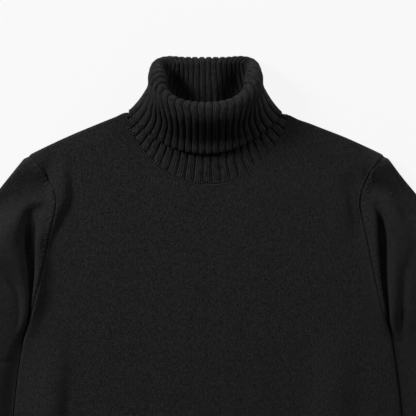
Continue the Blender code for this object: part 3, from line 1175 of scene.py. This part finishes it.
    def build(self, knit: Material, rib: Material, yarn: Material) -> Object:
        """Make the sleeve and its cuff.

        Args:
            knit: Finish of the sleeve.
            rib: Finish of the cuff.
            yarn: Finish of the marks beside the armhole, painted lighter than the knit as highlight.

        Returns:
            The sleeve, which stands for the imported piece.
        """
        name = "sleeve_" + self.side.label
        parts = self.ring_parts(self.tube_width)
        middle = self.ring(clustered(0.0, self.rows), parts)
        along = lengths_along(middle).mean(axis=1)
        ring = middle[len(middle) // 2]
        around = lengths_along(np.concatenate([ring, ring[:1]]))
        stitches = np.stack(np.broadcast_arrays(around[None], -along[:, None]), axis=-1)
        sheet = Cloth(name + "_tube", middle, stitches, CUT.wall, closed=True,
                      outward=-self.side.value, soft_edges=False)
        sleeve = sheet.build(knit)
        marked = slice(self.marked[0], len(parts) - self.marked[1])
        for row, distance in self.marks.items():
            Linking(f"{name}_marks_{row}", pitch=7.6, length=3.0, width=1.7, height=1.8, turn=62.0).build(
                *sheet.line_at(distance, marked), CUT.wall / 2, yarn)
        stations = np.linspace(self.rows[-1][0], len(self.sections) - 1, self.cuff_rows)
        counted = WELT_RIB.columns(self.cuff_ribs)
        middle = np.array([even_ring(ring, counted / self.cuff_ribs)
                           for ring in self.ring(stations, self.ring_parts(self.cuff_width))])
        along = lengths_along(middle).mean(axis=1)
        stitches = WELT_RIB.stitches(np.append(counted, self.cuff_ribs), -along[:, None])
        grip = smooth_step(np.linspace(0, 1, self.cuff_rows) / self.grip)
        cuff = Cloth("cuff_" + self.side.label, middle, stitches, CUT.wall, closed=True,
                     outward=-self.side.value, **WELT_RIB.reliefs(counted, grip)).build(rib)
        in_frame(sleeve)
        in_frame(cuff)
        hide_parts(name)
        LOG.info("%s and its cuff", name)
        return sleeve


@dataclass(frozen=True)
class Rim:
    """Middle of the collar's roll, round its tilted opening.

    Attributes:
        rise_front: How late it rises from the front, as a power.
        rise_back: The same from the sides to the back.
        bulge: How much higher the middle of the back is, whole and ended at bulge_sides.
        corner_rise: How much farther back the corners beside it lie.
    """

    half: float = 63.0
    y_side: float = 345.0
    y_front: float = 308.8
    y_back: float = 369.4
    z_side: float = 44.0
    z_front: float = 61.6
    z_back: float = 11.0
    rise_front: float = 1.2
    rise_back: float = 1.3
    square_front: float = 0.80
    square_back: float = 0.27
    bulge: float = 8.0
    bulge_sides: Pair = (20.0, 50.0)
    corner_rise: float = 2.0

    @property
    def up(self) -> Array:
        """Direction square to the opening."""
        fall = (self.z_back - self.z_front) / (self.y_back - self.y_front)
        return unit(np.array([0.0, -fall, 1.0]))

    def ring(self, cosine: Array, sine: Array) -> Array:
        """Points of the rim, from the cosines and sines of their turns."""
        ahead = sine >= 0
        square = np.where(ahead, self.square_front, self.square_back)
        reach = np.abs(sine) ** np.where(ahead, 1.0, self.square_back)
        x = self.half * np.sign(cosine) * np.abs(cosine) ** square
        y = mixed(self.y_side, np.where(ahead, self.y_front, self.y_back), reach)
        middle = middle_share(x, self.bulge_sides)
        y += np.where(ahead, 0, self.corner_rise * (1 - middle) * reach)
        part = np.where(ahead, (y - self.y_front) / (self.y_side - self.y_front),
                        (y - self.y_side) / (self.y_back - self.y_side))
        z = np.where(ahead, mixed(self.z_front, self.z_side, part ** self.rise_front),
                     mixed(self.z_side, self.z_back, part ** self.rise_back))
        z += np.where(ahead, 0, self.bulge * middle * smooth_step(part))
        return np.column_stack([x, y, z])


@dataclass
class RollCollar:
    """Ribbed tube linked to the neckline: a stand, a roll and a turned-down part.

    Attributes:
        roll_radii: Radius of the roll at the front, the sides and the back.
        roll_starts: Turn in degrees at which it starts there, on its inner side.
        roll_turns: Turn at which it ends.
        lean: How far the collar leans across, from lean_height up.
        rows: Rows up to the roll, over it, down to the edge's curl and in that.
        back_bulge: Where the bulge of the back is whole, and where it ends.
        linking_in: How far from its edge the collar is linked to the neckline.
        linking_tilt: How much those stitches turn up from the collar's side.
    """

    ribs: int = 42
    wall: float = 2.3
    rim: Rim = Rim()
    rim_smoothing: int = 40
    roll_radii: Triple = (8.4, 11.3, 7.4)
    roll_starts: Triple = (0.0, 0.0, 34.0)
    roll_turns: Triple = (150.0, 180.0, 222.0)
    roll_steps: int = 12
    lean: float = -2.9
    lean_height: float = 90.0
    rows: tuple[int, int, int, int] = (31, 16, 28, 3)
    first_rows: tuple[float, ...] = (0.0, 0.5, 1.0, 1.6, 2.3)
    samples: int = 420
    seam_fade: float = 2.5
    edge_curl: float = 3.6
    back_bulge: Pair = (12.0, 42.0)
    linking_in: float = 1.3
    linking_tilt: float = 0.6
    linking_lift: float = 0.7
    stand: Rows = (
        # half, y side, y front, power, y back, power, z side, z front, z back, z powers, squareness, bulge
        (106.9, 300, 210.9, 1.3, 280.5, 1.3, 4.2, 6.9, 1.25, 0.35, 0.35, 1, 0),
        (98, 301.8, 229, 1.38, 289, 1.4, 6.2, 10.6, 1.6, 0.45, 0.36, 1, 0.6),
        (88.5, 306.5, 248, 1.45, 299.5, 1.35, 10, 15, 2.2, 0.6, 0.36, 0.98, 3.6),
        (76, 317, 270, 1.3, 320, 1.1, 17, 28, 2.2, 0.8, 0.3, 0.9, 11.6),
        (60, 331, 292.5, 1.1, 342, 0.85, 32, 43.5, 2.6, 1, 0.3, 0.78, 19.4),
    )
    turn_down: Rows = (
        (76, 334, 299, 1.1, 352, 0.75, 36, 67.3, 1.3, 1, 0.45, 0.8, 0),
        (80.5, 328, 291.5, 1.2, 343, 0.82, 28, 61.5, 1.28, 0.95, 0.43, 0.84, 0),
        (86, 320.5, 279, 1.35, 330, 0.92, 20.5, 45.5, 1.27, 0.9, 0.42, 0.89, 0),
        (93, 312.5, 265, 1.5, 316, 1.1, 14, 28.9, 1.25, 0.8, 0.38, 0.95, 0),
        (99.2, 305.8, 251.4, 1.65, 302, 1.3, 9.8, 22.8, 1.25, 0.55, 0.3, 1, 0),
        (100.6, 304.6, 249.7, 1.65, 301, 1.3, 6.2, 19.2, 1.25, 0.55, 0.3, 1, 0),
    )
    rib_places: Rows = (
        # rib counted from the front, and its place in ribs of equal width at the roll's inner and outer
        # side, under the roll, half way down and at the edge
        (0, 0, 0, 0, 0, 0), (2.5, 2.6, 2.45, 2.4, 2.25, 2.15), (4.5, 5, 4.5, 4.5, 4, 3.9),
        (6.5, 7.5, 6.5, 6.35, 5.6, 5.8), (7.5, 8.65, 7.5, 6.95, 6.5, 6.75), (8.5, 9.8, 8.4, 7.6, 7.4, 7.7),
        (9.5, 11, 9.3, 8.35, 8.35, 8.75), (10.5, 12.2, 10.4, 9.3, 9.4, 9.85),
        (11.5, 13.3, 11.5, 10.4, 10.5, 10.95), (13.5, 14.6, 13.5, 12.6, 12.6, 12.9),
        (16.5, 16.9, 16.5, 16.2, 16.2, 16.3), (21, 21, 21, 21, 21, 21),
    )

    def turns(self) -> tuple[Array, Array]:
        """Cosines and sines of turns round a ring, over the wearer's left first, close at its corners."""
        t = np.linspace(0, 1, self.samples // 4 + 1)[:-1]
        cosine = np.sin(t * math.pi / 2) ** 2
        sine = np.sqrt(1 - cosine ** 2)
        down_cosine, down_sine = np.append(1.0, cosine[:0:-1]), np.append(0.0, sine[:0:-1])
        return (np.concatenate([cosine, down_cosine, -cosine, -down_cosine]),
                np.concatenate([sine, -down_sine, -sine, down_sine]))

    def section_ring(self, section: Sequence[float]) -> Array:
        """Points round one level ring of the stand or the turned-down part."""
        (half, y_side, y_front, y_power_front, y_back, y_power_back,
         z_side, z_front, z_back, z_power_front, z_power_back, square, bulge) = section
        cosine, sine = self.turns()
        reach = np.abs(sine)
        ahead = sine >= 0

        def swing(side: float, front: float, front_power: float, back: float, back_power: float) -> Array:
            """Value round the ring, out from that of its sides to those of its front and back."""
            return np.where(ahead, mixed(side, front, reach ** front_power),
                            mixed(side, back, reach ** back_power))

        x = half * np.sign(cosine) * np.abs(cosine) ** square
        y = swing(y_side, y_front, y_power_front, y_back, y_power_back)
        z = swing(z_side, z_front, z_power_front, z_back, z_power_back)
        return np.column_stack([x, y, z + np.where(ahead, 0, bulge * middle_share(x, self.back_bulge))])

    def roll_rings(self, parts: Array) -> Array:
        """Rings round the roll, from its inner side over the top to its outer side."""
        rim = even_ring(self.rim.ring(*self.turns()), np.linspace(0, 1, len(parts) + 1)[:-1])
        for _ in range(self.rim_smoothing):
            rim = (np.roll(rim, 1, axis=0) + 2 * rim + np.roll(rim, -1, axis=0)) / 4
        up = self.rim.up
        out = unit(np.cross(np.roll(rim, -1, axis=0) - np.roll(rim, 1, axis=0), up))
        to_side = smooth_step((rim[:, 1] - self.rim.y_front) / (self.rim.y_side - self.rim.y_front))
        to_back = smooth_step((rim[:, 1] - self.rim.y_side) / (self.rim.y_back - self.rim.y_side))

        def blend(front: float, side: float, back: float) -> Array:
            """Value round the roll, from those at its front, sides and back."""
            return (mixed(front, side, to_side) + (back - side) * to_back)[:, None]

        start, end = np.radians(blend(*self.roll_starts)), np.radians(blend(*self.roll_turns))
        radius = blend(*self.roll_radii)
        rings = []
        for part in np.arange(self.roll_steps + 1) / self.roll_steps:
            turn = mixed(start, end, part)
            ring = rim + radius * (up * np.sin(turn) - out * np.cos(turn))
            rings.append(even_ring(ring, self.places(parts, part)))
        return np.array(rings)

    def places(self, parts: Array, column: float) -> Array:
        """Parts of a ring's length at which the ribs lie.

        Args:
            parts: Parts of the way round, counted in ribs.
            column: Which ring of rib_places, from 0; one between two is a mix of both.

        Returns:
            The parts of the length.
        """
        counted, *rings = np.array(self.rib_places).T
        low = min(int(column), len(rings) - 2)
        place = rings[low] * (1 + low - column) + rings[low + 1] * (column - low)
        half = 1 - np.abs(1 - 2 * parts)
        moved = curve_through(np.column_stack([counted, place]) / counted[-1], half)
        return np.where(parts < 0.5, moved / 2, 1 - moved / 2)

    def surface(self, parts: Array) -> tuple[Array, Array]:
        """Middle of the collar's wall.

        Args:
            parts: Rising parts round the collar.

        Returns:
            Rows of rings and the distance of each row up the tube.
        """
        stand = [even_ring(self.section_ring(section), parts) for section in self.stand]
        roll = self.roll_rings(parts)
        # the ribs gather from the ring under the roll down to the edge, whose two sides are alike
        last = len(self.turn_down) - 2
        turned = [even_ring(self.section_ring(section), self.places(parts, 2 + 2 * min(number / last, 1)))
                  for number, section in enumerate(self.turn_down)]
        rings = np.array([*stand, *roll, *turned])
        run = lengths_along(rings).mean(axis=1)
        ends = (run[len(stand)], run[len(stand) + len(roll) - 1], run[-1] - self.edge_curl, run[-1])
        rows = np.concatenate([self.first_rows, clustered(0.0, zip(ends, self.rows))[1:]])
        table = np.column_stack([run, rings.reshape(len(rings), -1)])
        middle = curve_through(table, rows).reshape(len(rows), len(parts), 3)
        along = unit(np.gradient(middle, axis=0))
        middle = middle + along * NECK_SEAM.push(rows)[:, None, None]
        middle[..., 2] = np.maximum(middle[..., 2] + NECK_SEAM.depth(rows)[:, None], CUT.floor_z)
        middle[..., 0] += (self.lean * smooth_step(rows / self.lean_height))[:, None]
        return middle, rows

    def build(self, rib: Material, yarn: Material) -> Object:
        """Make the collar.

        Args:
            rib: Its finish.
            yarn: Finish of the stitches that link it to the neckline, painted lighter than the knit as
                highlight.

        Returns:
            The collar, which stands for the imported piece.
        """
        counted = COLLAR_RIB.columns(self.ribs)
        middle, rows = self.surface(counted / self.ribs)
        stitches = COLLAR_RIB.stitches(np.append(counted, self.ribs), rows[:, None])
        reliefs = COLLAR_RIB.reliefs(counted, smooth_step(rows / self.seam_fade))
        sheet = Cloth("roll_collar", middle, stitches, self.wall, closed=True,
                      back_shift=COLLAR_RIB.pitch / 2, **reliefs)
        collar = sheet.build(rib)
        line, inward = sheet.line_at(self.linking_in)
        up = unit(np.array([0.0, 0.0, self.linking_tilt]) - inward)
        Linking("collar_linking").build(line, up, self.wall / 2 + self.linking_lift, yarn)
        in_frame(collar)
        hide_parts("collar")
        LOG.info("collar")
        return collar


# ---- studio


@dataclass(frozen=True)
class Studio:
    """Pale floor, soft light and the camera straight above, in metres apart from the view in mm."""

    view_width: float = 549.12
    view_middle: Pair = (0.66, 178.7)
    distance: float = 8.0
    sensor: float = 36.0
    floor_size: float = 40.0
    floor_glow: float = 0.885
    floor_z: float = -0.0005
    lamp_distance: float = 2.5
    lamp_size: float = 0.75
    lamps: dict[str, Triple] = field(default_factory=lambda: {
        # by side of the view: turn from beyond the collar towards the wearer's right, height, power
        "left": (58.0, 32.0, 65.0), "right": (-58.0, 32.0, 21.0), "top": (0.0, 36.0, 13.0)})
    ambient: float = 0.055

    def floor(self) -> None:
        """Large pale floor."""
        bpy.ops.object.select_all(action="DESELECT")
        bpy.ops.mesh.primitive_plane_add(size=self.floor_size, location=(0, 0, self.floor_z))
        floor = bpy.context.object
        floor.name = "studio_floor"
        floor.data.materials.append(Graph("studio floor").finished({
            "Base Color": (0.05, 0.05, 0.05, 1.0), "Roughness": 1.0, "Specular IOR Level": 0.0,
            "Emission Color": (1.0, 1.0, 1.0, 1.0), "Emission Strength": self.floor_glow}))

    def lights(self) -> None:
        """Large soft lamps beside and beyond the collar, and a little light from all round."""
        for name, (turn, height, power) in self.lamps.items():
            turn, height = math.radians(turn), math.radians(height)
            direction = Vector((-math.sin(turn) * math.cos(height), math.cos(turn) * math.cos(height),
                                math.sin(height)))
            data = bpy.data.lights.new(name, "AREA")
            data.shape = "DISK"
            data.size = self.lamp_size
            data.energy = power
            lamp = bpy.data.objects.new(name, data)
            lamp.location = direction * self.lamp_distance
            lamp.rotation_euler = direction.to_track_quat("Z", "Y").to_euler()
            lamp.visible_camera = False
            bpy.context.scene.collection.objects.link(lamp)
        world = bpy.data.worlds.new("studio")
        world.use_nodes = True
        background = world.node_tree.nodes["Background"]
        background.inputs["Color"].default_value = (1.0, 1.0, 1.0, 1.0)
        background.inputs["Strength"].default_value = self.ambient
        bpy.context.scene.world = world

    def camera(self) -> None:
        """Long lens straight above, with the hem beyond the lower edge."""
        data = bpy.data.cameras.new("camera")
        data.sensor_width = self.sensor
        data.lens = self.sensor * self.distance / MM / self.view_width
        camera = bpy.data.objects.new("camera", data)
        camera.location = (self.view_middle[0] * MM, self.view_middle[1] * MM, self.distance)
        bpy.context.scene.collection.objects.link(camera)
        bpy.context.scene.camera = camera

    def build(self) -> None:
        """Set up floor, lights, camera and view."""
        self.floor()
        self.lights()
        self.camera()
        bpy.context.scene.view_settings.view_transform = "Standard"


JERSEY = KnitFinish("charcoal fine knit", dark=(0.0020, 0.0019, 0.0019, 1.0),
                    light=(0.0330, 0.0322, 0.0318, 1.0))
# the rib's finish paints strong shade between its wales and in the grooves between its ribs
RIB = replace(JERSEY, name="charcoal rib", wale=COLLAR_RIB.pitch / 4, line=1.3, painted_stitch_shading=0.85,
              rib=COLLAR_RIB.pitch, streak=1.8)
# painted highlight: the linking stitches are a lighter copy of the knit's colours
LIGHTENED_LINKING = KnitFinish("charcoal linking yarn", dark=(0.0120, 0.0117, 0.0116, 1.0),
                     light=(0.0620, 0.0604, 0.0598, 1.0), painted_stitch_shading=0.0, streak=0.0, mottle=0.8)


def main() -> None:
    """Dress the sweater and set up the studio."""
    logging.basicConfig(level=logging.INFO, format="%(message)s")
    Studio().build()
    knit, rib, yarn = JERSEY.build(), RIB.build(), LIGHTENED_LINKING.build()
    BodyPanel("back", CUT.back_drop, upper=False).build(knit, rib)
    BodyPanel("front", CUT.front_drop, upper=True).build(knit, rib)
    for side in Side:
        Sleeve(side).build(knit, rib, yarn)
    RollCollar().build(rib, yarn)


if __name__ == "__main__":
    main()
